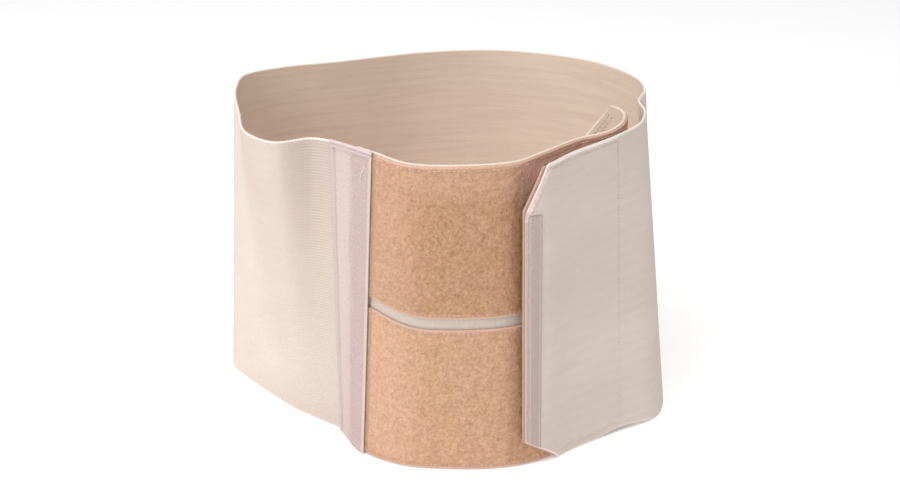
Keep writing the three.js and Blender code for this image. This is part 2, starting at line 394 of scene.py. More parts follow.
class Signal:
    """A node's output. Sums and products of signals add the nodes that work them out."""

    def __init__(self, w: "Wiring", socket: bpy.types.NodeSocket) -> None:
        """Keep the wiring and the socket."""
        self.w = w
        self.socket = socket

    def __add__(self, other: "Feed") -> "Signal":
        """Add a signal or a number."""
        return self.w.math("ADD", self, other)

    def __sub__(self, other: "Feed") -> "Signal":
        """Take a signal or a number away."""
        return self.w.math("SUBTRACT", self, other)

    def __rsub__(self, other: "Feed") -> "Signal":
        """Take this signal away from a number."""
        return self.w.math("SUBTRACT", other, self)

    def __mul__(self, other: "Feed") -> "Signal":
        """Multiply by a signal or a number."""
        return self.w.math("MULTIPLY", self, other)

    def __truediv__(self, other: "Feed") -> "Signal":
        """Divide by a signal or a number."""
        return self.w.math("DIVIDE", self, other)

    def larger(self, other: "Feed") -> "Signal":
        """The larger of this and another."""
        return self.w.math("MAXIMUM", self, other)

    def sine(self, rate: float) -> "Signal":
        """Sine of this times a rate."""
        return self.w.math("SINE", self * rate)

    def ramp(self, low: "Feed", high: "Feed") -> "Signal":
        """Turn the span from low to high into 0 to 1, eased; low may be the larger."""
        feeds = {"Value": self, "From Min": low, "From Max": high}
        kind = "ShaderNodeMapRange"
        return self.w.out(kind, feeds, "Result", interpolation_type="SMOOTHSTEP")


Feed = Signal | float | Colour


class Wiring:
    """Adds nodes to a tree and joins them."""

    def __init__(self, tree: bpy.types.NodeTree) -> None:
        """Keep the tree."""
        self.tree = tree

    def feed(self, node: bpy.types.Node, feeds: dict[int | str, object]) -> None:
        """Set or link a node's inputs, by name or number."""
        for key, value in feeds.items():
            socket = node.inputs[key]
            if isinstance(value, Signal):
                self.tree.links.new(value.socket, socket)
            elif socket.type == "RGBA":
                socket.default_value = (*value, 1.0)
            else:
                socket.default_value = value

    def node(self, kind: str, feeds: dict | None = None, **settings: object) -> bpy.types.Node:
        """Add a node.

        Args:
            kind: Blender's name for its type.
            feeds: Values or signals for its inputs, by name or number.
            settings: Properties to set first.

        Returns:
            The node.
        """
        made = self.tree.nodes.new(kind)
        for name, value in settings.items():
            setattr(made, name, value)
        self.feed(made, feeds or {})
        return made

    def out(
        self, kind: str, feeds: dict | None = None, output: int | str = 0, **settings: object
    ) -> Signal:
        """Add a node and return the named or numbered one of its outputs."""
        return Signal(self, self.node(kind, feeds, **settings).outputs[output])

    def math(self, operation: str, *values: Feed) -> Signal:
        """Add a math node for either kind of tree."""
        return self.out("ShaderNodeMath", dict(enumerate(values)), operation=operation)

    def mix(self, factor: Feed, first: Feed, second: Feed) -> Signal:
        """Mix two colours."""
        return self.out("ShaderNodeMix", {0: factor, 6: first, 7: second}, 2, data_type="RGBA")

    def join(self, x: Feed = 0.0, y: Feed = 0.0, z: Feed = 0.0) -> Signal:
        """Join numbers into a vector."""
        return self.out("ShaderNodeCombineXYZ", {0: x, 1: y, 2: z})

    def split(self, vector: Signal) -> list[Signal]:
        """Split a vector into its three numbers."""
        made = self.node("ShaderNodeSeparateXYZ", {0: vector})
        return [Signal(self, output) for output in made.outputs]

    def place(self) -> Signal:
        """The point on the object, in metres."""
        return self.out("ShaderNodeTexCoord", output="Object")

    def noise(
        self, where: Signal, scale: float = 1.0, detail: float = 2.0, warp: float = 0.0
    ) -> Signal:
        """Add a noise texture and return its value."""
        feeds = {"Vector": where, "Scale": scale, "Detail": detail, "Distortion": warp}
        return self.out("ShaderNodeTexNoise", feeds, "Fac")

    def stored(self, name: str) -> Signal:
        """A number kept on the mesh's points, for a material."""
        return self.out("ShaderNodeAttribute", output="Fac", attribute_name=name)

    def kept(self, name: str, kind: str = "FLOAT") -> Signal:
        """A number or vector kept on the mesh's points, for a geometry tree."""
        return self.out("GeometryNodeInputNamedAttribute", {0: name}, data_type=kind)

    def random(self, seed: int, low: float = 0.0, high: float = 1.0) -> Signal:
        """One random number for each point, with a fixed seed."""
        feeds = {2: low, 3: high, "Seed": seed}
        return self.out("FunctionNodeRandomValue", feeds, 1, data_type="FLOAT")

    def tinted(self, points: Signal, seed: int) -> Signal:
        """Keep a random tint on each point."""
        feeds = {"Geometry": points, "Name": "tint", "Value": self.random(seed)}
        kind = "GeometryNodeStoreNamedAttribute"
        return self.out(kind, feeds, data_type="FLOAT", domain="POINT")

    def turned(self, rotation: Signal, spin: Signal) -> Signal:
        """Turn a rotation about its own axes."""
        feeds = {"Rotation": rotation, "Rotate By": spin}
        return self.out("FunctionNodeRotateRotation", feeds, rotation_space="LOCAL")

    def tube(self, curve: Signal, sides: int, width: Signal) -> Signal:
        """Sweep a small ring along a curve."""
        feeds = {"Resolution": sides, "Radius": width * 0.5}
        ring = self.out("GeometryNodeCurvePrimitiveCircle", feeds, mode="RADIUS")
        feeds = {"Curve": curve, "Profile Curve": ring, "Fill Caps": True}
        return self.out("GeometryNodeCurveToMesh", feeds)

    def copies(self, points: Signal, shape: Signal, turn: Signal, size: Signal) -> Signal:
        """Set smooth shaded copies of a shape on points."""
        feeds = {"Points": points, "Instance": shape, "Rotation": turn, "Scale": size}
        laid = self.out("GeometryNodeInstanceOnPoints", feeds)
        real = self.out("GeometryNodeRealizeInstances", {0: laid})
        return self.out("GeometryNodeSetShadeSmooth", {0: real})


class Finish:
    """A cloth's surface: a procedural material read from the cloth map."""

    name = "cloth"
    roughness = 0.85
    sheen = 0.03
    sheen_roughness = 0.5
    sheen_tint: Colour = (1.0, 1.0, 1.0)
    bump_depth = 0.3

    def position(self, w: Wiring) -> tuple[Signal, Signal]:
        """The distance along and the height, in mm, from the cloth map."""
        along, up, _ = w.split(w.out("ShaderNodeUVMap", uv_map="cloth"))
        return along * 1000.0, up * 1000.0

    def wire(self, w: Wiring, u: Signal, v: Signal) -> tuple[Signal, Signal]:
        """Wire the pattern and return its colour and height."""
        raise NotImplementedError

    def material(self) -> bpy.types.Material:
        """Make the material, once for each finish.

        Returns:
            The material.
        """
        title = f"{self.name}_finish"
        known = bpy.data.materials.get(title)
        if known is not None:
            return known
        made = bpy.data.materials.new(title)
        made.use_nodes = True
        made.node_tree.nodes.clear()
        w = Wiring(made.node_tree)
        colour, height = self.wire(w, *self.position(w))
        shader = w.out("ShaderNodeBsdfPrincipled", {
            "Base Color": colour,
            "Roughness": self.roughness,
            "Normal": w.out("ShaderNodeBump", {
                "Height": height, "Strength": 1.0, "Distance": self.bump_depth * MM,
            }),
            "Sheen Weight": self.sheen,
            "Sheen Roughness": self.sheen_roughness,
            "Sheen Tint": self.sheen_tint,
            "Specular IOR Level": 0.25,
        })
        w.node("ShaderNodeOutputMaterial", {0: shader})
        return made


@dataclass(frozen=True)
class WovenElastic(Finish):
    """Ribbed woven elastic with a faint herringbone, painted light and shade, and a pale selvedge
    that is partly painted highlight.
    """

    name: str = "woven_elastic"
    base: Colour = (0.83, 0.735, 0.675)
    dark: Colour = (0.71, 0.605, 0.54)
    inner_base: Colour = (0.86, 0.70, 0.59)
    inner_dark: Colour = (0.74, 0.575, 0.475)
    # Painted light: lighter, warmer copies of the inner colours for the far part of the inner face
    painted_lit_inner_base: Colour = (0.91, 0.765, 0.63)
    painted_lit_inner_dark: Colour = (0.78, 0.63, 0.52)
    # Painted light: lighter copies of the outer colours for the outer face short of 340 mm from
    # the seam
    painted_lit_left_base: Colour = (0.89, 0.783, 0.695)
    painted_lit_left_dark: Colour = (0.78, 0.665, 0.575)
    # Painted shade near the seam
    painted_seam_shade: Colour = (0.60, 0.485, 0.43)
    rim: Colour = (0.90, 0.79, 0.71)
    cut_rim: Colour = (0.88, 0.70, 0.65)
    end_rim: Colour = (0.62, 0.46, 0.40)
    sheen: float = 0.05

    def wire(self, w: Wiring, u: Signal, v: Signal) -> tuple[Signal, Signal]:
        """Wire streaks, ribs with painted shade in their valleys, slanted weft threads, painted
        light on parts of both faces, painted shade at the seam and the selvedge, partly painted
        highlight.
        """
        streak = w.noise(w.join(u * 0.014, v * 0.30), warp=0.5)
        cloud = w.noise(w.join(u * 0.012, v * 0.02))
        heather = w.noise(w.join(u * 0.8, v * 0.8))
        flap = u.ramp(LINE.elastic_end - 280.0, LINE.elastic_end - 160.0)
        inside = w.stored("side").ramp(0.5, -0.5)
        weft = (u + w.math("PINGPONG", v, RIB_PITCH * 2)).sine(math.tau / 2.0)
        tone = cloud * 0.5 + streak * 0.65 * (inside + 0.2)
        tone = tone + heather * (flap * -0.25 + 0.45) + weft * (inside * 0.1 + 0.025)
        # Painted light: the outer face takes its lighter copies short of 340 mm, the inner face
        # past 560 mm
        right = u.ramp(340.0, 560.0)
        low = w.mix(inside, w.mix(right, self.painted_lit_left_dark, self.dark),
                    w.mix(right, self.inner_dark, self.painted_lit_inner_dark))
        high = w.mix(inside, w.mix(right, self.painted_lit_left_base, self.base),
                     w.mix(right, self.inner_base, self.painted_lit_inner_base))
        body = w.mix(tone.ramp(inside * 0.25 + 0.25, inside * 0.35 + 0.85), low, high)
        # Painted shade: the rib valleys darken towards the darker colours, less on the inner face
        # and on the flap
        furrow = w.math("COSINE", v * (math.tau / RIB_PITCH)).ramp(0.2, -0.9)
        calm = (inside * -0.4 + 0.75) * (flap * -0.6 + 1.0)
        body = w.mix(furrow * calm * (weft.ramp(-0.9, 0.5) * 0.5 + 0.35), body, low)
        # Painted shade on the outer face near the seam, stronger towards the top and, close to the
        # tape, banded by the rib valleys
        near = (v * -0.2 + u).ramp(92.0, 48.0) * (1.0 - inside) * (v * 0.0018 + 0.35)
        close = u.ramp(60.0, 34.0)
        ribbed = (furrow * (close * 0.3) + 0.6) * (close * 0.5 + 1.0)
        body = w.mix(near * ribbed, body, self.painted_seam_shade)
        cut = (u + heather * 1.5).ramp(LINE.elastic_end - 18.5, LINE.elastic_end - 16.0)
        end = u.ramp(LINE.elastic_end - 1.6, LINE.elastic_end - 0.9)
        rim = w.mix(end, w.mix(cut, self.rim, self.cut_rim), self.end_rim)
        # The pale rim is partly the selvedge's own colour and partly painted highlight
        colour = w.mix(w.stored("away").ramp(1.9, 0.7), body, rim)
        return colour, weft * 0.3 + heather * 0.5


@dataclass(frozen=True)
class KnitBacking(Finish):
    """Fine plain knit of the closure panel's backing."""

    name: str = "knit_backing"
    base: Colour = (0.80, 0.70, 0.62)
    # Cream, pushed near full brightness as partly painted light
    inside: Colour = (1.0, 0.835, 0.68)
    rim: Colour = (1.0, 0.86, 0.72)

    def wire(self, w: Wiring, u: Signal, v: Signal) -> tuple[Signal, Signal]:
        """Wire small wales, a cream inner face made very light as partly painted light, and the
        pale rim, partly painted highlight.
        """
        cloud = w.noise(w.join(u * 0.25, v * 0.25))
        # Painted light in part: the cream inner face is very light, and the pale rim is partly
        # painted highlight
        body = w.mix(w.stored("side").ramp(-0.5, 0.5), self.inside, self.base)
        pale = w.mix(cloud * 0.25, body, self.inside)
        colour = w.mix(w.stored("away").ramp(1.8, 0.8), pale, self.rim)
        return colour, u.sine(7.2) * 0.5 + v.sine(9.0) * 0.3


@dataclass(frozen=True)
class BrushedLoop(Finish):
    """Matted loop pile, mottled, flattened and darker along its edges, with painted light and
    shadow near the flap and painted shadow along its foot.
    """

    name: str = "brushed_loop"
    light: Colour = (0.67, 0.40, 0.226)
    dark: Colour = (0.44, 0.232, 0.126)
    rose: Colour = (0.69, 0.40, 0.275)
    # Painted shadow colour
    painted_shadow: Colour = (0.28, 0.11, 0.055)
    lightened_colour: Colour = (0.93, 0.60, 0.49)
    margin: Colour = (0.57, 0.35, 0.23)
    lip: Colour = (0.71, 0.465, 0.345)
    # Pressed pile and painted shade
    pressed_pile_and_shade: Colour = (0.48, 0.32, 0.23)
    rose_share: float = 0.15
    roughness: float = 0.95
    sheen: float = 0.06
    sheen_roughness: float = 0.6
    sheen_tint: Colour = (1.0, 0.8, 0.62)
    bump_depth: float = 1.0

    def shades(self, w: Wiring, where: Signal, tone: Signal) -> Signal:
        """Colour a tone, rosier in soft patches, lightened behind the flap's top corner as painted
        light, a little paler at the left and top, with painted shadow beside the flap's edge and
        along the foot.

        Args:
            w: The tree's wiring.
            where: Where the pattern is read.
            tone: 0 for the darkest and 1 for the lightest.

        Returns:
            The colour.
        """
        share = w.noise(where, 0.045, warp=0.3).ramp(0.42, 0.62) * 0.5 + self.rose_share
        across, _, high = w.split(w.place())
        # Painted light: the part behind the flap's top corner, in the flap's shade, is lightened;
        # the left part and the top are a little paler
        painted_light_behind_flap = across.ramp(0.050, 0.064) * high.ramp(0.185, 0.205)
        paler_left_and_top = across.ramp(-0.006, -0.040).larger(high.ramp(0.198, 0.218))
        lightened_share = (painted_light_behind_flap * 0.9).larger(paler_left_and_top * 0.2)
        # Painted shadow: a dark strip beside the flap's edge and along the foot
        painted_shadow_share = across.ramp(0.043, 0.051) * across.ramp(0.066, 0.058)
        painted_shadow_share = painted_shadow_share.larger(high.ramp(0.0065, 0.001))
        mottled_colour = w.mix(tone, self.dark, w.mix(share, self.light, self.rose))
        mottled_colour = w.mix(painted_shadow_share * 0.25, mottled_colour, self.painted_shadow)
        return w.mix(lightened_share, mottled_colour, self.lightened_colour)

    def wire(self, w: Wiring, u: Signal, v: Signal) -> tuple[Signal, Signal]:
        """Wire mottles, grain and the flattened margin."""
        where = w.join(u, v)
        mottle = w.noise(where, 0.15, warp=0.3)
        curl = w.noise(where, 0.38, warp=0.6)
        grain = w.noise(where, 1.3, warp=1.2)
        tone = grain * 0.15 + (mottle * 0.45 + curl)
        body = self.shades(w, where, tone.ramp(0.40, 1.17))
        away = w.stored("away")
        colour = w.mix(away.ramp(4.6, 3.0) * 0.7, body, self.margin)
        colour = w.mix(away.ramp(2.4, 1.0), colour, self.lip)
        # Pressed pile and painted shade beside the seam tape's edge
        tape_edge = -SEAM_TAPE_WIDTH / 2
        beside = (mottle * 2.5 + u).ramp(tape_edge - 3.2, tape_edge - 1.0)
        colour = w.mix(beside * 0.9, colour, self.pressed_pile_and_shade)
        return colour, curl * 0.8 + grain * 0.5


@dataclass(frozen=True)
class BrushedPile(BrushedLoop):
    """The curled loops that stand on the brushed cloth, each of its own shade."""

    name: str = "brushed_pile"
    bump_depth: float = 0.05

    def position(self, w: Wiring) -> tuple[Signal, Signal]:
        """The distance across and the height, in mm, from the object's own place."""
        across, _, up = w.split(w.place())
        return across * 1000.0, up * 1000.0

    def wire(self, w: Wiring, u: Signal, v: Signal) -> tuple[Signal, Signal]:
        """Wire each loop's own shade over soft patches."""
        where = w.join(u, v)
        mottle = w.noise(where, 0.15, warp=0.3)
        curl = w.noise(where, 0.38, warp=0.6)
        tone = curl + (w.stored("tint") * 0.15 + mottle * 0.45)
        return self.shades(w, where, tone.ramp(0.40, 1.17)), w.noise(where, 5.0)


# The lower cloth is lighter and rosier than the upper one
LOWER_SHADES = {
    "light": (0.765, 0.48, 0.28),
    "dark": (0.52, 0.295, 0.174),
    "rose": (0.785, 0.465, 0.335),
    "rose_share": 0.3,
}


class PanelTone(Enum):
    """Shades of the two brushed cloths, each with its pile."""

    UPPER = (BrushedLoop(), BrushedPile())
    LOWER = (BrushedLoop("lower_brushed", **LOWER_SHADES),
             BrushedPile("lower_pile", **LOWER_SHADES))


@dataclass(frozen=True)
class RibbedTape(Finish):
    """Pink tape, lighter and smooth on one half and mauve and ribbed on the other; the two tones
    are partly its own and partly painted light and shade.
    """

    name: str = "ribbed_tape"
    smooth_half: Colour = (0.80, 0.66, 0.61)
    ribbed_half: Colour = (0.70, 0.535, 0.50)
    outer_margin: Colour = (0.73, 0.59, 0.55)
    valley: Colour = (0.58, 0.43, 0.41)
    selvedge: Colour = (0.79, 0.63, 0.59)
    hem: Colour = (0.63, 0.465, 0.48)
    fold: Colour = (0.80, 0.65, 0.64)
    roughness: float = 0.75
    bump_depth: float = 0.25

    def wire(self, w: Wiring, u: Signal, v: Signal) -> tuple[Signal, Signal]:
        """Wire the two halves, partly painted light and shade, the valley at one edge and the rib
        troughs with painted shade, the selvedge and the hems with painted highlights on their
        folds.
        """
        cloud = w.noise(w.join(u * 0.22, v * 0.035), 1.0, 3.0, 0.6)
        spot = w.noise(w.join(u * 0.5, v * 0.5), 1.0, 3.0)
        wander = u + (cloud - 0.5) * 16.0
        # Partly painted light and shade: the half past the middle is lighter, the other mauve
        body = w.mix(wander.ramp(-5.0, 4.0), self.ribbed_half, self.smooth_half)
        body = w.mix(spot.ramp(0.45, 0.7) * 0.55, body, self.selvedge)
        body = w.mix(spot.ramp(0.5, 0.3) * 0.4, body, self.valley)
        body = w.mix(u.ramp(15.0, 16.4), body, self.outer_margin)
        # Painted shade in the groove near one edge
        nearness = w.math("ABSOLUTE", cloud * 3.0 + u - 16.9)
        body = w.mix(nearness.ramp(1.6, 0.2) * 0.6, body, self.valley)
        ragged = u + (spot - 0.5) * 2.0
        body = w.mix(ragged.ramp(-17.4, -18.4), body, self.selvedge)
        # Painted shade in the rib troughs
        ribbed = (u.ramp(3.0, -3.0) * 0.5 + 0.2) * u.ramp(-18.4, -17.0)
        colour = w.mix(ribbed * v.sine(math.tau / TAPE_RIB).ramp(0.3, -0.9), body, self.valley)
        hem = v.ramp(226.0, 226.8)
        colour = w.mix(hem * 0.75, colour, self.hem)
        # Painted highlights along the hem's top rim and its lower fold edge
        for start, full in ((228.7, 229.4), (227.9, 227.2)):
            colour = w.mix(v.ramp(start, full) * hem, colour, self.fold)
        return colour, u.sine(5.6) * 0.5 + v.sine(9.0) * 0.3


@dataclass(frozen=True)
class EndTape(Finish):
    """Narrow mauve-grey twill tape at the flap's end."""

    name: str = "end_tape"
    base: Colour = (0.47, 0.37, 0.345)
    pale: Colour = (0.66, 0.54, 0.505)

    def wire(self, w: Wiring, u: Signal, v: Signal) -> tuple[Signal, Signal]:
        """Wire columns of knitted dots and soft clouding."""
        twill = u.sine(math.tau / 2.1) * v.sine(math.tau / 1.9)
        tone = w.noise(w.join(u * 0.6, v * 0.25)) * 0.6 + twill * 0.24
        return w.mix(tone.ramp(0.0, 0.62), self.base, self.pale), twill


@dataclass(frozen=True)
class HookCloth(Finish):
    """Peach hook cloth inside the flap, whose edge shows at its end."""

    name: str = "hook_cloth"
    base: Colour = (0.60, 0.38, 0.28)
    pale: Colour = (0.70, 0.475, 0.38)
    roughness: float = 0.6

    def wire(self, w: Wiring, u: Signal, v: Signal) -> tuple[Signal, Signal]:
        """Wire rows of hook bases and a pale edge."""
        row = u.sine(4.2)
        body = w.mix(row.ramp(-0.6, 1.0), self.base, self.pale)
        cloud = w.noise(w.join(u, v), 0.4)
        edge = w.stored("away").ramp(1.6, 0.8) * cloud.ramp(0.2, 0.6)
        return w.mix(edge, body, self.pale), row * v.sine(4.2)


@dataclass(frozen=True)
class MouldedHooks(HookCloth):
    """The small stiff hooks that stand on the hook cloth."""

    name: str = "moulded_hooks"
    roughness: float = 0.35
    bump_depth: float = 0.02

    def wire(self, w: Wiring, u: Signal, v: Signal) -> tuple[Signal, Signal]:
        """Wire each hook's own shade."""
        return w.mix(w.stored("tint"), self.base, self.pale), w.noise(w.place(), 900.0)


@dataclass(frozen=True)
class SewingThread(Finish):
    """Twisted sewing thread."""

    name: str = "sewing_thread"
    base: Colour = (0.80, 0.60, 0.54)
    pale: Colour = (0.90, 0.74, 0.68)
    roughness: float = 0.55
    bump_depth: float = 0.05

    def wire(self, w: Wiring, u: Signal, v: Signal) -> tuple[Signal, Signal]:
        """Wire a fine twist and each stitch's own shade."""
        twist = w.noise(w.place(), 2600.0, 1.0)
        tone = w.stored("tint") * 0.7 + twist * 0.4
        return w.mix(tone.ramp(0.1, 1.0), self.base, self.pale), twist


class Thread(Enum):
    """Colours of sewing thread on the binder."""

    ROSE = SewingThread()
    PEACH = SewingThread("peach_thread", (0.62, 0.34, 0.25), (0.80, 0.51, 0.42))
    PLUM = SewingThread("plum_thread", (0.55, 0.41, 0.43), (0.68, 0.54, 0.55))
    IVORY = SewingThread("ivory_thread", (0.92, 0.75, 0.64), (1.0, 0.87, 0.77))
    SAND = SewingThread("sand_thread", (0.72, 0.60, 0.54), (0.84, 0.73, 0.67))
    UMBER = SewingThread("umber_thread", (0.54, 0.38, 0.31), (0.70, 0.53, 0.45))
    BLUSH = SewingThread("blush_thread", (0.78, 0.62, 0.57), (0.93, 0.79, 0.75))
    PALE = SewingThread("pale_thread", (0.86, 0.76, 0.72), (0.96, 0.89, 0.86))
    CREAM = SewingThread("cream_thread", (0.58, 0.44, 0.40), (0.80, 0.64, 0.59))


def dress(piece: Object, finish: Finish) -> None:
    """Give a piece its material and body."""
    piece.data.materials.clear()
    piece.data.materials.append(finish.material())
    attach(piece, "root")
    log.info("%s: %d faces", piece.name, len(piece.data.polygons))


def lay(piece: Object, node: str, finish: Finish) -> Object:
    """Dress a cloth and set it in place of its solid."""
    dress(piece, finish)
    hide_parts(node)
    return piece


class GrowTree:
    """A geometry node tree that is built in the script and applied to a piece."""

    label = "grow"

    def sizes(self) -> dict[str, float]:
        """Named inputs of the tree and their values."""
        raise NotImplementedError

    def wire(self, w: Wiring, given: dict[str, Signal]) -> Signal:
        """Wire the tree from its named inputs and return its geometry."""
        raise NotImplementedError

    def grow(self, piece: Object, finish: Finish) -> Object:
        """Run the tree on a piece and keep the result as its mesh.

        Args:
            piece: The object whose mesh goes in; it is used up.
            finish: Finish whose material the tree sets.

        Returns:
            A new object of the same name with the plain mesh.
        """
        material = finish.material()
        tree = bpy.data.node_groups.new(self.label, "GeometryNodeTree")
        face = tree.interface
        face.new_socket("Geometry", in_out="INPUT", socket_type="NodeSocketGeometry")
        for name in self.sizes():
            face.new_socket(name, in_out="INPUT", socket_type="NodeSocketFloat")
        face.new_socket("Geometry", in_out="OUTPUT", socket_type="NodeSocketGeometry")
        w = Wiring(tree)
        outputs = w.node("NodeGroupInput").outputs
        given = {name: Signal(w, outputs[name]) for name in ("Geometry", *self.sizes())}
        real = w.out("GeometryNodeRealizeInstances", {0: self.wire(w, given)})
        painted = w.out("GeometryNodeSetMaterial", {0: real, "Material": material})
        w.node("NodeGroupOutput", {0: painted})
        modifier = piece.modifiers.new(self.label, "NODES")
        modifier.node_group = tree
        inputs = {item.name: item.identifier for item in face.items_tree
                  if item.item_type == "SOCKET" and item.in_out == "INPUT"}
        for name, value in self.sizes().items():
            modifier[inputs[name]] = value
        bpy.context.view_layer.update()
        graph = bpy.context.evaluated_depsgraph_get()
        mesh = bpy.data.meshes.new_from_object(piece.evaluated_get(graph))
        piece.modifiers.clear()
        name = piece.name
        bpy.data.objects.remove(piece, do_unlink=True)
        mesh.name = name
        return make_object(name, mesh)


@dataclass
class RibTree(GrowTree):
    """Raises level ribs on both faces of a wall, with sizes in mm."""

    pitch: float = RIB_PITCH
    depth: float = 0.2
    rim_width: float = 2.4
    label = "level_ribs"

    def sizes(self) -> dict[str, float]:
        """Pitch and depth in metres and the rim's width in mm."""
        return {"Rib pitch": self.pitch * MM, "Rib depth": self.depth * MM,
                "Rim width": self.rim_width}

    def wire(self, w: Wiring, given: dict[str, Signal]) -> Signal:
        """Move each point along its stored outward direction."""
        height = w.split(w.out("GeometryNodeInputPosition"))[2]
        turn = height / given["Rib pitch"] * math.tau
        wave = w.math("COSINE", turn) * given["Rib depth"]
        calm = w.math("MINIMUM", (w.kept("away") / given["Rim width"]).larger(0.0), 1.0)
        calm = calm * (w.kept("side") * 0.2 + 0.8)
        feeds = {0: w.kept("out", "FLOAT_VECTOR"), "Scale": wave * calm}
        move = w.out("ShaderNodeVectorMath", feeds, operation="SCALE")
        feeds = {"Geometry": given["Geometry"], "Offset": move}
        return w.out("GeometryNodeSetPosition", feeds)


@dataclass
class StitchTree(GrowTree):
    """Lays stitches at even steps along paths, in mm, turned left and right by the slant."""

    pitch: float
    length: float
    width: float
    slant: float = 0.0
    seed: int = 3
    label = "stitch_rows"

    def sizes(self) -> dict[str, float]:
        """Sizes in metres and the slant in radians."""
        return {
            "Stitch pitch": self.pitch * MM,
            "Stitch length": self.length * MM,
            "Thread width": self.width * MM,
            "Slant": math.radians(self.slant),
        }

    def wire(self, w: Wiring, given: dict[str, Signal]) -> Signal:
        """Resample the paths and set one stitch on each point."""
        curve = w.out("GeometryNodeMeshToCurve", {0: given["Geometry"]})
        feeds = {"Curve": curve, "Length": given["Stitch pitch"]}
        steps = w.tinted(w.out("GeometryNodeResampleCurve", feeds, mode="LENGTH"), self.seed)
        ball = w.out("GeometryNodeMeshUVSphere", {"Segments": 6, "Rings": 4, "Radius": 0.5})
        align = "FunctionNodeAlignRotationToVector"
        ahead = w.out(align, {"Vector": w.out("GeometryNodeInputTangent")}, axis="X")
        feeds = {"Rotation": ahead, "Vector": w.kept("out", "FLOAT_VECTOR")}
        facing = w.out(align, feeds, axis="Z", pivot_axis="X")
        sign = w.math("MODULO", w.out("GeometryNodeInputIndex"), 2.0) * 2.0 - 1.0
        turn = sign * given["Slant"] + w.random(self.seed + 1, -0.07, 0.07)
        width = given["Thread width"]
        size = w.join(given["Stitch length"], width, width * 0.8)
        return w.copies(steps, ball, w.turned(facing, w.join(z=turn)), size)


@dataclass
class PileTree(GrowTree):
    """Scatters small curled loops over one face of a cloth.

    Attributes:
        density: Loops to the square millimetre.
        loop_length: Length of a loop in mm.
        loop_height: Its height in mm.
        thread: Its thickness in mm.
        side: 1 for the outer face and -1 for the inner one.
        margin: Width left free along the edges in mm.
        until: Distance from the seam at which the loops end.
        seed: Seed of the scatter.
    """

    density: float
    loop_length: float
    loop_height: float
    thread: float
    side: float = 1.0
    margin: float = 3.4
    until: float = 1e4
    seed: int = 7
    label = "curled_loops"

    def sizes(self) -> dict[str, float]:
        """Loops to the square metre, sizes in metres and the margin in mm."""
        return {
            "Density": self.density * 1e6,
            "Loop length": self.loop_length * MM,
            "Loop height": self.loop_height * MM,
            "Thread": self.thread * MM,
            "Face": self.side,
            "Margin": self.margin,
            "Until": self.until,
        }

    def wire(self, w: Wiring, given: dict[str, Signal]) -> Signal:
        """Build one loop and set turned copies on the chosen face."""
        facing = w.math("GREATER_THAN", w.kept("side") * given["Face"], 0.5)
        before = w.math("LESS_THAN", w.kept("along"), given["Until"])
        clear = before * w.math("GREATER_THAN", w.kept("away"), given["Margin"])
        spread = w.node("GeometryNodeDistributePointsOnFaces", {
            "Mesh": given["Geometry"],
            "Selection": facing * clear,
            "Density": given["Density"],
            "Seed": self.seed,
        }, distribute_method="RANDOM").outputs
        half = given["Loop length"] * 0.5
        sunk = given["Thread"] * -1.0
        arc = w.out("GeometryNodeCurveQuadraticBezier", {
            "Resolution": 3,
            "Start": w.join(half * -1.0, 0.0, sunk),
            "Middle": w.join(0.0, half, given["Loop height"] * 2.0),
            "End": w.join(half, 0.0, sunk),
        })
        spin = w.out("FunctionNodeRandomValue", {
            0: (-0.35, -0.35, 0.0), 1: (0.35, 0.35, math.tau), "Seed": self.seed + 2,
        }, data_type="FLOAT_VECTOR")
        return w.copies(
            w.tinted(Signal(w, spread[0]), self.seed + 1),
            w.tube(arc, 3, given["Thread"]),
            w.turned(Signal(w, spread["Rotation"]), spin),
            w.random(self.seed + 3, 0.7, 1.35),
        )


@dataclass
class TailTree(GrowTree):
    """Turns paths into loose ends of thread, of a thickness in mm."""

    thread: float
    label = "thread_tails"

    def sizes(self) -> dict[str, float]:
        """Thickness in metres."""
        return {"Thread": self.thread * MM}

    def wire(self, w: Wiring, given: dict[str, Signal]) -> Signal:
        """Sweep a small ring along the paths."""
        curve = w.out("GeometryNodeMeshToCurve", {0: given["Geometry"]})
        return w.out("GeometryNodeSetShadeSmooth", {0: w.tube(curve, 6, given["Thread"])})


def grow_pile(cloth: Object, name: str, tree: PileTree, finish: Finish) -> Object:
    """Grow loops or hooks on a cloth, as a piece of their own.

    Args:
        cloth: The cloth's piece, which stays as it is.
        name: Name of the new piece.
        tree: The tree that scatters them.
        finish: Their finish.

    Returns:
        The new piece.
    """
    pile = tree.grow(make_object(name, cloth.data.copy()), finish)
    dress(pile, finish)
    return pile


@dataclass
class Path:
    """A line on a cloth face that stitches follow.

    Attributes:
        s: Distances of its points in mm.
        z: Their heights in mm.
        offset: How far outside the wall line it lies in mm.
        face: 1 where it lies on an outer face and -1 on an inner one.
    """

    s: Array | float
    z: Array | float
    offset: float
    face: float = 1.0


def sew(name: str, thread: Thread, tree: GrowTree, paths: list[Path]) -> Object:
    """Lay stitches of one thread along paths, as one piece.

    Args:
        name: Name of the piece.
        thread: Colour of the thread.
        tree: The tree that lays the stitches.
        paths: The lines that they follow.

    Returns:
        The piece.
    """
    places, facing, edges = [], [], []
    total = 0
    for path in paths:
        s, z = np.broadcast_arrays(path.s, path.z)
        places.append(LINE.points(s, z, path.offset))
        facing.append(LINE.outward(s, z) * path.face)
        edges += [(total + k, total + k + 1) for k in range(len(s) - 1)]
        total += len(s)
    mesh = bpy.data.meshes.new(name)
    mesh.from_pydata(np.concatenate(places).tolist(), edges, [])
    store(mesh, "out", np.concatenate(facing))
    piece = tree.grow(make_object(name, mesh), thread.value)
    dress(piece, thread.value)
    return piece


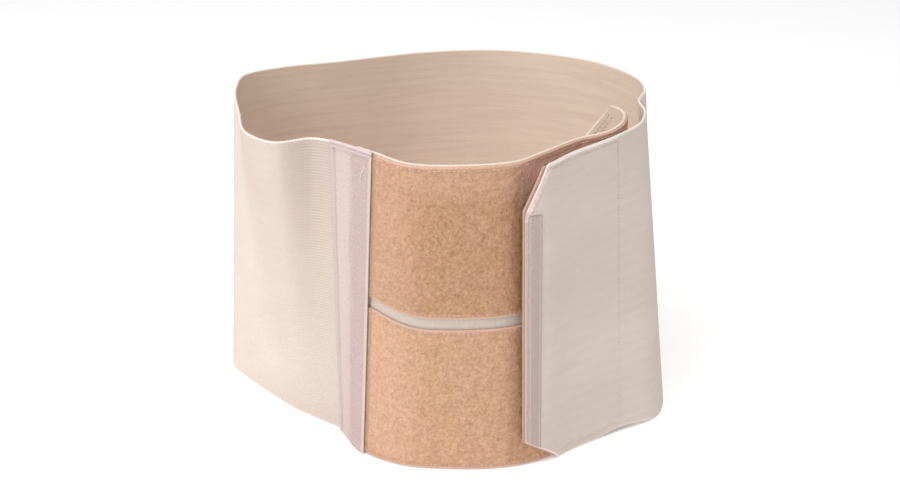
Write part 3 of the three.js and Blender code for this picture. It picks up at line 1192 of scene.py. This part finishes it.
def ripple(seed: int, spacing: float, depth: float) -> Relief:
    """A soft random relief with a fixed seed.

    Args:
        seed: Seed of its waves.
        spacing: Mean size of its bumps in mm.
        depth: Its height in mm.

    Returns:
        The relief, a function of distances and heights.
    """
    rng = np.random.default_rng(seed)
    count = 22
    angle = rng.uniform(0, math.tau, count)
    rate = math.tau / (spacing * rng.uniform(0.7, 2.2, count))
    phase = rng.uniform(0, math.tau, count)

    def relief(s: Array, z: Array) -> Array:
        """Sum the waves at each place."""
        total = 0 * s
        for a, r, p in zip(angle, rate, phase):
            total = total + np.sin(r * (s * math.cos(a) + z * math.sin(a)) + p)
        return depth * total / math.sqrt(count / 2)

    return relief


def even_rows(spacing: float, foot: float = 0.0, top: float = BAND_HEIGHT) -> Array:
    """Heights at even steps, with three more close to both rims."""
    count = max(2, round((top - foot) / spacing))
    close = np.array([1.3, 1.9, 2.8])
    return np.unique(np.concatenate([
        np.linspace(foot, top, count + 1), foot + close, top - close,
    ]))


@dataclass
class HookFlapShape:
    """Cut corners and raised foot of the flap's end, in mm."""

    top_cut_length: float = 17.0
    top_cut_height: float = 34.0
    foot_cut_length: float = 31.0
    foot_cut_height: float = 22.4
    foot_bow: float = 0.85
    arch_height: float = 3.8
    arch_length: float = 76.0
    arch_from_end: float = 103.0

    def top(self, s: Array, end: float) -> Array:
        """Top rim's height."""
        share = np.maximum(0, 1 - (end - s) / self.top_cut_length)
        return BAND_HEIGHT - self.top_cut_height * share

    def arch(self, s: Array) -> Array:
        """How far the foot is raised behind the corner."""
        share = (s - LINE.flap_end + self.arch_from_end) / (self.arch_length / 2)
        wave = self.arch_height * (1 + np.cos(math.pi * share)) / 2
        return np.where(np.abs(share) < 1, wave, 0)

    def foot(self, s: Array, end: float) -> Array:
        """Foot rim's height."""
        share = np.maximum(0, 1 - (end - s) / self.foot_cut_length)
        return np.maximum(self.arch(s), self.foot_cut_height * share**self.foot_bow)


FLAP = HookFlapShape()


@dataclass
class ElasticBand:
    """The wide elastic, from under the seam tape to the flap's end."""

    column_step: float = 13.0
    column_bend: float = 11.0
    corner_step: float = 1.9

    def build(self) -> Object:
        """Make the ribbed elastic in place of its solid."""
        start, end = LINE.elastic_start, LINE.elastic_end
        corner = end - FLAP.foot_cut_length
        columns = np.concatenate([
            LINE.columns(start, corner, self.column_step, self.column_bend)[:-1],
            LINE.columns(corner, end, self.corner_step, 60.0),
        ])
        rows = np.arange(0, BAND_HEIGHT + 0.1, RIB_PITCH / 3)
        piece = ClothWall(
            columns, FLAP.foot(columns, end), FLAP.top(columns, end), rows,
            ELASTIC_INNER, ELASTIC_OUTER,
        ).build("elastic_cloth")
        piece = RibTree().grow(piece, WovenElastic())
        return lay(piece, "elastic_band", WovenElastic())


@dataclass
class ClosurePanel:
    """The backing with its two brushed loop cloths, in mm."""

    cut_length: float = 21.0
    cut_height: float = 28.0
    backing_inner: float = -1.675
    backing_outer: float = -0.175
    loop_inner: float = 0.175
    loop_outer: float = 1.85
    inset: float = 1.0
    top_inset: float = 0.9
    end_inset: float = 3.0
    lower_height: float = 110.0
    spacing: float = 8.0
    spacing_rise: float = 6.0
    spacing_slope: float = 55.0
    pile_density: float = 0.29
    bare_strip: float = 2.2

    def cut(self, s: Array) -> Array:
        """How far the corner cuts of the free end eat into both rims."""
        return self.cut_height * np.maximum(0, 1 - (s - LINE.panel_end) / self.cut_length)

    def lower_top(self, s: Array) -> Array:
        """Height of the lower loop cloth, which climbs towards the seam."""
        share = (s - LINE.elastic_start + self.spacing_slope) / self.spacing_slope
        return self.lower_height + self.spacing_rise * smooth(share)

    def build_backing(self) -> Object:
        """Make the backing in place of its solid."""
        corner = LINE.panel_end + self.cut_length
        columns = np.concatenate([
            LINE.columns(LINE.panel_end, corner, 1.6, 30.0)[:-1],
            LINE.columns(corner, LINE.elastic_start + BACKING_TUCK, 6.0, 6.0),
        ])
        cut = self.cut(columns)
        piece = ClothWall(
            columns, cut, BAND_HEIGHT - cut, even_rows(3.0),
            self.backing_inner, self.backing_outer,
        ).build("backing_cloth")
        return lay(piece, "panel_backing", KnitBacking())

    def build_loop(self, name: str, node: str, panel_tone: PanelTone) -> Object:
        """Make one brushed loop cloth in place of its solid.

        Args:
            name: Name of the piece.
            node: Name of the solid that it replaces.
            panel_tone: Its shade, which also tells the upper cloth from the lower.

        Returns:
            The piece.
        """
        start, stop = LINE.panel_end + self.end_inset, LINE.elastic_start - CLOTH_GAP
        columns = LINE.columns(start, stop, 2.6, 4.0)
        cut = self.cut(columns)
        if panel_tone is PanelTone.UPPER:
            foot = self.lower_top(columns) + self.spacing
            top = BAND_HEIGHT - self.top_inset - cut
        else:
            foot = self.inset + cut
            top = self.lower_top(columns)
        piece = ClothWall(
            columns, foot, top, even_rows(1.7, float(foot.min()), float(top.max())),
            self.loop_inner, self.loop_outer, ripple(11 if panel_tone is PanelTone.UPPER else 12, 5.0, 0.16),
        ).build(name)
        return lay(piece, node, panel_tone.value[0])

    def build_pile(self, cloth: Object, name: str, panel_tone: PanelTone, seed: int) -> Object:
        """Grow curled loops on a brushed cloth, up to the seam tape."""
        until = -SEAM_TAPE_WIDTH / 2 - self.bare_strip
        tree = PileTree(self.pile_density, 2.0, 0.26, 0.55, until=until, seed=seed)
        return grow_pile(cloth, name, tree, panel_tone.value[1])

    def build_stitches(self) -> list[Object]:
        """Sew both loop cloths down, and the free end of the panel inside."""
        start, stop = LINE.panel_end + self.end_inset, LINE.elastic_start - CLOTH_GAP
        s = np.arange(start + 4, stop - 1, 1.0)
        cut = self.cut(s)
        seat = self.loop_outer + 0.1
        join = self.lower_top(s)
        rows = [
            Path(s, BAND_HEIGHT - self.inset - cut - 2.7, seat),
            Path(s, join + self.spacing + 3.1, seat - 0.05),
            Path(s, join - 2.6, seat),
            Path(s, self.inset + cut + 3.0, seat - 0.05),
        ]
        inside = self.backing_inner - 0.08
        ends = []
        for away in (3.2, 6.2):
            straight = self.cut_height + away
            z = np.arange(straight, BAND_HEIGHT - self.cut_height - away, 1.0)
            low = LINE.panel_end + away * 0.8
            run = np.arange(straight, 3.0 + away, -1.0)
            slant = low + (straight - run) * (self.cut_length / self.cut_height)
            ends += [Path(slant, run, inside, -1.0), Path(low, z, inside, -1.0),
                     Path(slant, BAND_HEIGHT - run, inside, -1.0)]
        rim = np.arange(LINE.panel_end + 0.5, LINE.elastic_start - 1.5, 0.7)
        return [
            sew("panel_stitches", Thread.PEACH,
                StitchTree(3.3, 2.9, 0.9, 7.0, seed=31), rows),
            sew("panel_end_stitches", Thread.UMBER,
                StitchTree(2.9, 2.1, 0.85, 8.0, seed=37), ends),
            sew("panel_rim_stitches", Thread.IVORY,
                StitchTree(0.75, 1.7, 0.9, 76.0, seed=39),
                [Path(rim, BAND_HEIGHT - 0.75 - self.cut(rim), 0.05)]),
        ]


@dataclass
class SeamTape:
    """The pink tape over the joint, with a folded hem at both ends, in mm."""

    inner: float = 2.325
    outer: float = 3.525
    hem: float = 4.6
    foot_hem: float = 5.6
    top: float = BAND_HEIGHT + 1.2

    def relief(self, s: Array, z: Array) -> Array:
        """Ribs on one half, folds at both ends and a valley at one edge."""
        share = 0.15 + 0.85 * smooth((2 - s) / 4)
        ribs = np.sin(math.tau * z / TAPE_RIB) * 0.17 * share * smooth((s + 18.6) / 1.6)
        fold = smooth((z - (self.top - self.hem)) / 0.7) + smooth((self.foot_hem - z) / 0.7)
        groove = smooth((z - (self.top - 3.0)) / 0.5) * smooth((self.top - 1.4 - z) / 0.5)
        valley = smooth((s - 13.8) / 1.4) * smooth((17.2 - s) / 1.4)
        bead = smooth((-17.4 - s) / 0.8)
        return ribs * (1 - fold) + 0.6 * fold - 0.35 * groove - 0.3 * valley + 0.16 * bead

    def build(self) -> Object:
        """Make the tape in place of its solid."""
        columns = np.linspace(-SEAM_TAPE_WIDTH / 2, SEAM_TAPE_WIDTH / 2, 41)
        close = np.arange(0.9, 6.4, 0.35)
        rows = np.concatenate([np.arange(0, self.top, 0.6), close, self.top - close])
        piece = ClothWall(
            columns, 0 * columns, self.top + 0 * columns, np.unique(rows.round(3)),
            self.inner, self.outer, self.relief,
        ).build("ribbed_seam_tape")
        return lay(piece, "seam_tape", RibbedTape())

    def build_stitches(self) -> list[Object]:
        """Sew the tape's two edges and its hems, with one loose thread end."""
        under = self.top - self.hem
        z = np.arange(self.foot_hem + 1, under - 1, 1.0)
        s = np.arange(-SEAM_TAPE_WIDTH / 2 + 2, SEAM_TAPE_WIDTH / 2 - 2, 1.0)
        hems = [Path(s, height, self.outer + 0.55)
                for height in (under + 0.9, self.foot_hem - 1.3)]
        turn = np.linspace(0, 1, 24)
        tail = Path(-14.4 + 3.9 * smooth(turn * 1.3) - 0.5 * turn, 220.5 - 14.0 * turn,
                    self.outer + 0.35)
        rows = (
            ("seam_tape_stitches", Thread.PLUM, StitchTree(2.9, 2.0, 0.42, 4.0, seed=41),
             [Path(15.5, z, self.outer - 0.4), Path(-17.1, z, self.outer + 0.02)]),
            ("hem_gather_stitches", Thread.PLUM, StitchTree(1.45, 2.3, 0.6, 84.0, seed=45),
             [Path(s, under - 1.9, self.outer + 0.05)]),
            ("seam_hem_stitches", Thread.PALE, StitchTree(2.8, 2.1, 0.5, seed=43), hems),
            ("loose_thread_end", Thread.PALE, TailTree(0.55), [tail]),
        )
        return [sew(name, thread, tree, paths)
                for name, thread, tree, paths in rows]


@dataclass
class FlapEnd:
    """The hook cloth inside the flap's end and the narrow tape outside, in mm."""

    hook_length: float = 98.0
    hook_inset: float = 2.0
    hook_trim: float = 1.2
    hook_inner: float = -1.575
    hook_outer: float = -0.175
    tape_width: float = 10.0
    tape_inset: float = 2.0
    tape_clearance: float = 1.0
    tape_inner: float = 2.325
    tape_outer: float = 3.2
    thread_seat: float = 2.1

    def build_hook(self) -> Object:
        """Make the hook cloth in place of its solid."""
        end = LINE.flap_end
        corner = end - FLAP.foot_cut_length
        columns = np.concatenate([
            LINE.columns(end - self.hook_length, corner, 3.0, 6.0)[:-1],
            LINE.columns(corner, end - self.hook_trim, 1.2, 30.0),
        ])
        foot = np.maximum(FLAP.foot(columns, end), FLAP.arch(columns) + self.hook_inset)
        top = np.minimum(FLAP.top(columns, end), BAND_HEIGHT - self.hook_inset)
        piece = ClothWall(
            columns, foot, top, even_rows(2.2), self.hook_inner, self.hook_outer,
        ).build("hook_cloth")
        return lay(piece, "hook_patch", HookCloth())

    def build_hooks(self, cloth: Object) -> Object:
        """Stand small hooks on the inner face of the hook cloth."""
        tree = PileTree(0.16, 0.9, 0.8, 0.28, side=-1.0, margin=2.0, seed=51)
        return grow_pile(cloth, "hook_field", tree, MouldedHooks())

    def build_tape(self) -> Object:
        """Make the narrow tape in place of its solid."""
        stop = LINE.elastic_end - self.tape_inset
        columns = np.linspace(stop - self.tape_width, stop, 13)
        foot = FLAP.foot(columns, LINE.elastic_end) + self.tape_clearance
        top = BAND_HEIGHT - FLAP.top_cut_height - self.tape_clearance + 0 * columns
        piece = ClothWall(
            columns, foot, top, even_rows(1.5), self.tape_inner, self.tape_outer,
            ripple(21, 7.0, 0.06),
        ).build("narrow_end_tape")
        return lay(piece, "end_tape", EndTape())

    def build_stitches(self) -> list[Object]:
        """Sew the hook cloth through the flap, the narrow tape and the cut corner."""
        end = LINE.elastic_end
        line = LINE.flap_end - self.hook_length + 1.0
        face = self.thread_seat
        z = np.arange(FLAP.arch_height + 5.0, BAND_HEIGHT - 6.0, 1.0)
        s = np.arange(line, end - 18.0, 1.0)
        foot_run = np.arange(line, end - 14.0, 1.0)
        outer = end - self.tape_inset
        high = BAND_HEIGHT - FLAP.top_cut_height
        edges = []
        for place in (outer - 1.5, outer - self.tape_width + 1.5):
            low = float(FLAP.foot(np.array(place), end)) + 2.5
            edges.append(Path(place, np.arange(low, high - 2.0, 1.0), self.tape_outer + 0.05))
        corner = np.arange(end - FLAP.top_cut_length - 1.0, end - 0.3, 0.25)
        down = np.arange(high, FLAP.foot_cut_height + 1.0, -0.5)
        rim_run = np.arange(line, end - FLAP.top_cut_length - 0.5, 1.0)
        tack_run = np.arange(BAND_HEIGHT - 13.0, BAND_HEIGHT - 5.0, 0.5)
        rows = (
            ("flap_stitches", Thread.CREAM, StitchTree(2.9, 2.2, 0.7, 8.0, seed=61),
             [Path(line, z, face), Path(s, BAND_HEIGHT - 4.4, face)]),
            ("flap_foot_stitches", Thread.SAND, StitchTree(2.9, 2.2, 0.7, 8.0, seed=62),
             [Path(foot_run, FLAP.foot(foot_run, end) + 5.0, face)]),
            ("end_tape_stitches", Thread.ROSE, StitchTree(1.9, 1.9, 0.6, 40.0, seed=67), edges),
            ("cut_edge_stitches", Thread.BLUSH, StitchTree(0.62, 4.0, 0.75, 81.0, seed=71),
             [Path(corner, FLAP.top(corner, end) - 5.4, face + 0.1)]),
            ("flap_rim_stitches", Thread.PALE, StitchTree(0.8, 1.7, 0.7, 70.0, seed=75),
             [Path(rim_run, BAND_HEIGHT - 1.4, face - 0.1)]),
            ("flap_tack_stitches", Thread.ROSE, StitchTree(0.9, 2.6, 0.6, 68.0, seed=77),
             [Path(line, tack_run, face + 0.1)]),
            ("end_edge_stitches", Thread.ROSE, StitchTree(1.6, 1.7, 0.4, 70.0, seed=73),
             [Path(end - 0.9, down, face + 0.1)]),
        )
        fine, foot, zigzag, bound, rim, tack, side = (
            sew(name, thread, tree, paths)
            for name, thread, tree, paths in rows
        )
        return [zigzag, fine, foot, tack, bound, rim, side]


@dataclass
class Studio:
    """White floor, soft light and the camera of the photograph."""

    camera_x: float = 5.594
    camera_y: float = -1115.7
    camera_z: float = 572.03
    pitch: float = 22.5
    lens: float = 62.0
    floor_half: float = 6.0

    def build_camera(self) -> None:
        """Set the camera at the photograph's viewing angle."""
        data = bpy.data.cameras.new("camera")
        data.lens = self.lens
        data.sensor_width = 36.0
        data.clip_start = 0.01
        camera = bpy.data.objects.new("camera", data)
        camera.location = (self.camera_x * MM, self.camera_y * MM, self.camera_z * MM)
        camera.rotation_euler = Euler((math.radians(90 - self.pitch), 0, 0))
        bpy.context.scene.collection.objects.link(camera)
        bpy.context.scene.camera = camera

    def build_floor(self) -> None:
        """Lay a large pale floor that glows evenly, dimmed inside the loop as painted shade."""
        mesh = bpy.data.meshes.new("floor")
        r = self.floor_half
        mesh.from_pydata([(-r, -r, 0), (r, -r, 0), (r, r, 0), (-r, r, 0)], [], [(0, 1, 2, 3)])
        floor = make_object("floor", mesh)
        made = bpy.data.materials.new("floor_paper")
        made.use_nodes = True
        w = Wiring(made.node_tree)
        x, y, _ = w.split(w.place())
        across = w.math("POWER", x / (LOOP_WIDTH / 2 * MM), 2.0)
        far = across + w.math("POWER", y / (LOOP_DEPTH / 2 * MM), 2.0)
        w.feed(made.node_tree.nodes["Principled BSDF"], {
            "Base Color": w.mix(w.noise(w.place(), 3.0), (0.93, 0.93, 0.93), (0.95, 0.95, 0.95)),
            "Roughness": 0.9,
            # Painted shade: the floor's glow is dimmed inside the loop's footprint
            "Emission Color": w.mix(far.ramp(0.8, 1.1), (0.4, 0.4, 0.4), (1.0, 1.0, 1.0)),
            "Emission Strength": 0.3,
            "Specular IOR Level": 0.1,
        })
        mesh.materials.append(made)

    def area_light(self, name: str, place: tuple[float, float, float],
                   aim: tuple[float, float, float], size: float, power: float) -> None:
        """Hang one square soft light.

        Args:
            name: Its name.
            place: Where it hangs, in metres.
            aim: The point that it faces.
            size: Its side in metres.
            power: Its power in watts.
        """
        data = bpy.data.lights.new(name, "AREA")
        data.shape = "SQUARE"
        data.size = size
        data.energy = power
        light = bpy.data.objects.new(name, data)
        light.location = place
        facing = Vector(aim) - Vector(place)
        light.rotation_euler = facing.to_track_quat("-Z", "Y").to_euler()
        bpy.context.scene.collection.objects.link(light)

    def build_light(self) -> None:
        """Set the soft world light, a broad key from the upper left and one overhead."""
        scene = bpy.context.scene
        scene.view_settings.view_transform = "Standard"
        world = bpy.data.worlds.new("studio")
        world.use_nodes = True
        sky = world.node_tree.nodes["Background"]
        sky.inputs[0].default_value = (1.0, 1.0, 1.0, 1.0)
        sky.inputs[1].default_value = 0.42
        scene.world = world
        self.area_light("key", (-1.6, -1.4, 1.7), (0, 0, 0.1), 1.6, 26.0)
        self.area_light("overhead", (-0.05, -0.5, 2.0), (0, 0.1, 0.1), 1.8, 23.0)

    def build(self) -> None:
        """Build the camera, the floor and the lights."""
        self.build_camera()
        self.build_floor()
        self.build_light()


def main() -> None:
    """Build the studio, then each part of the binder."""
    logging.basicConfig(level=logging.INFO, format="%(name)s %(message)s")
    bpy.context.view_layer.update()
    Studio().build()
    elastic = ElasticBand().build()
    panel = ClosurePanel()
    backing = panel.build_backing()
    upper = panel.build_loop("upper_brushed_cloth", "upper_loop_panel", PanelTone.UPPER)
    lower = panel.build_loop("lower_brushed_cloth", "lower_loop_panel", PanelTone.LOWER)
    upper_pile = panel.build_pile(upper, "upper_curled_pile", PanelTone.UPPER, 7)
    lower_pile = panel.build_pile(lower, "lower_curled_pile", PanelTone.LOWER, 17)
    panel_sewing = panel.build_stitches()
    seam = SeamTape()
    tape = seam.build()
    tape_sewing = seam.build_stitches()
    flap = FlapEnd()
    hook = flap.build_hook()
    hooks = flap.build_hooks(hook)
    narrow = flap.build_tape()
    flap_sewing = flap.build_stitches()


if __name__ == "__main__":
    main()
